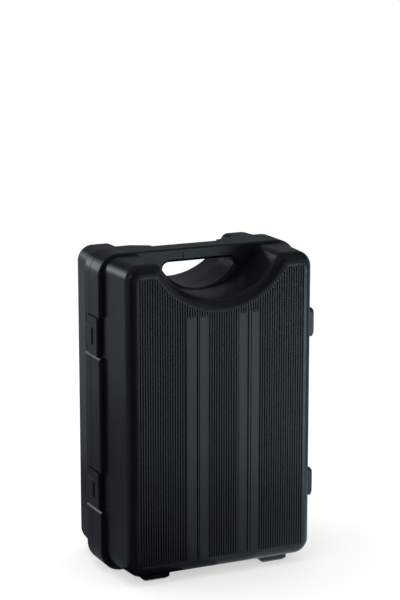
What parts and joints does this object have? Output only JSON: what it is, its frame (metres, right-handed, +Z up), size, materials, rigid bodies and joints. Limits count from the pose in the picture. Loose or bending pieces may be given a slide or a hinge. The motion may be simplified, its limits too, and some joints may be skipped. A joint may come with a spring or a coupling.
{
  "type": "drum pedal case",
  "caption": "Upright moulded carrying case for a drum pedal, with a fluted front, a scooped carrying handle, a side-hinged lid and swinging side latches.",
  "frame": {"origin": "on the standing surface, at the middle of the case's width and depth", "axes": "+Z up, -Y towards the fluted front, +X towards the hinge side"},
  "size_m": [0.2744, 0.1788, 0.409],
  "materials": {
    "case_plastic": "satin moulded polyethylene",
    "latch_plastic": "smooth moulded plastic",
    "hinge_plate": "black painted steel",
    "pin_steel": "plain steel"
  },
  "bodies": {
    "rear": {"rear_shell": "case_plastic", "upper_latch_pin": "pin_steel", "lower_latch_pin": "pin_steel", "upper_hinge_rear_leaf": "hinge_plate", "lower_hinge_rear_leaf": "hinge_plate", "upper_hinge_pin": "pin_steel", "lower_hinge_pin": "pin_steel", "rear_hinge_screws": "pin_steel"},
    "front": {"front_shell": "case_plastic", "upper_hinge_front_leaf": "hinge_plate", "lower_hinge_front_leaf": "hinge_plate", "front_hinge_screws": "pin_steel"},
    "upper_latch": {"upper_latch": "latch_plastic"},
    "lower_latch": {"lower_latch": "latch_plastic"}
  },
  "joints": [
    {"name": "lid_hinge", "type": "hinge", "parent": "rear", "child": "front", "pos_m": [0.1344, 0.00985, 0.20485], "axis": [0, 0, 1], "range_deg": [0, 110]},
    {"name": "upper_latch_pivot", "type": "hinge", "parent": "rear", "child": "upper_latch", "pos_m": [-0.1322, 0.02285, 0.3047], "axis": [0, 0, -1], "range_deg": [0, 100]},
    {"name": "lower_latch_pivot", "type": "hinge", "parent": "rear", "child": "lower_latch", "pos_m": [-0.1322, 0.02285, 0.1062], "axis": [0, 0, -1], "range_deg": [0, 100]}
  ]
}
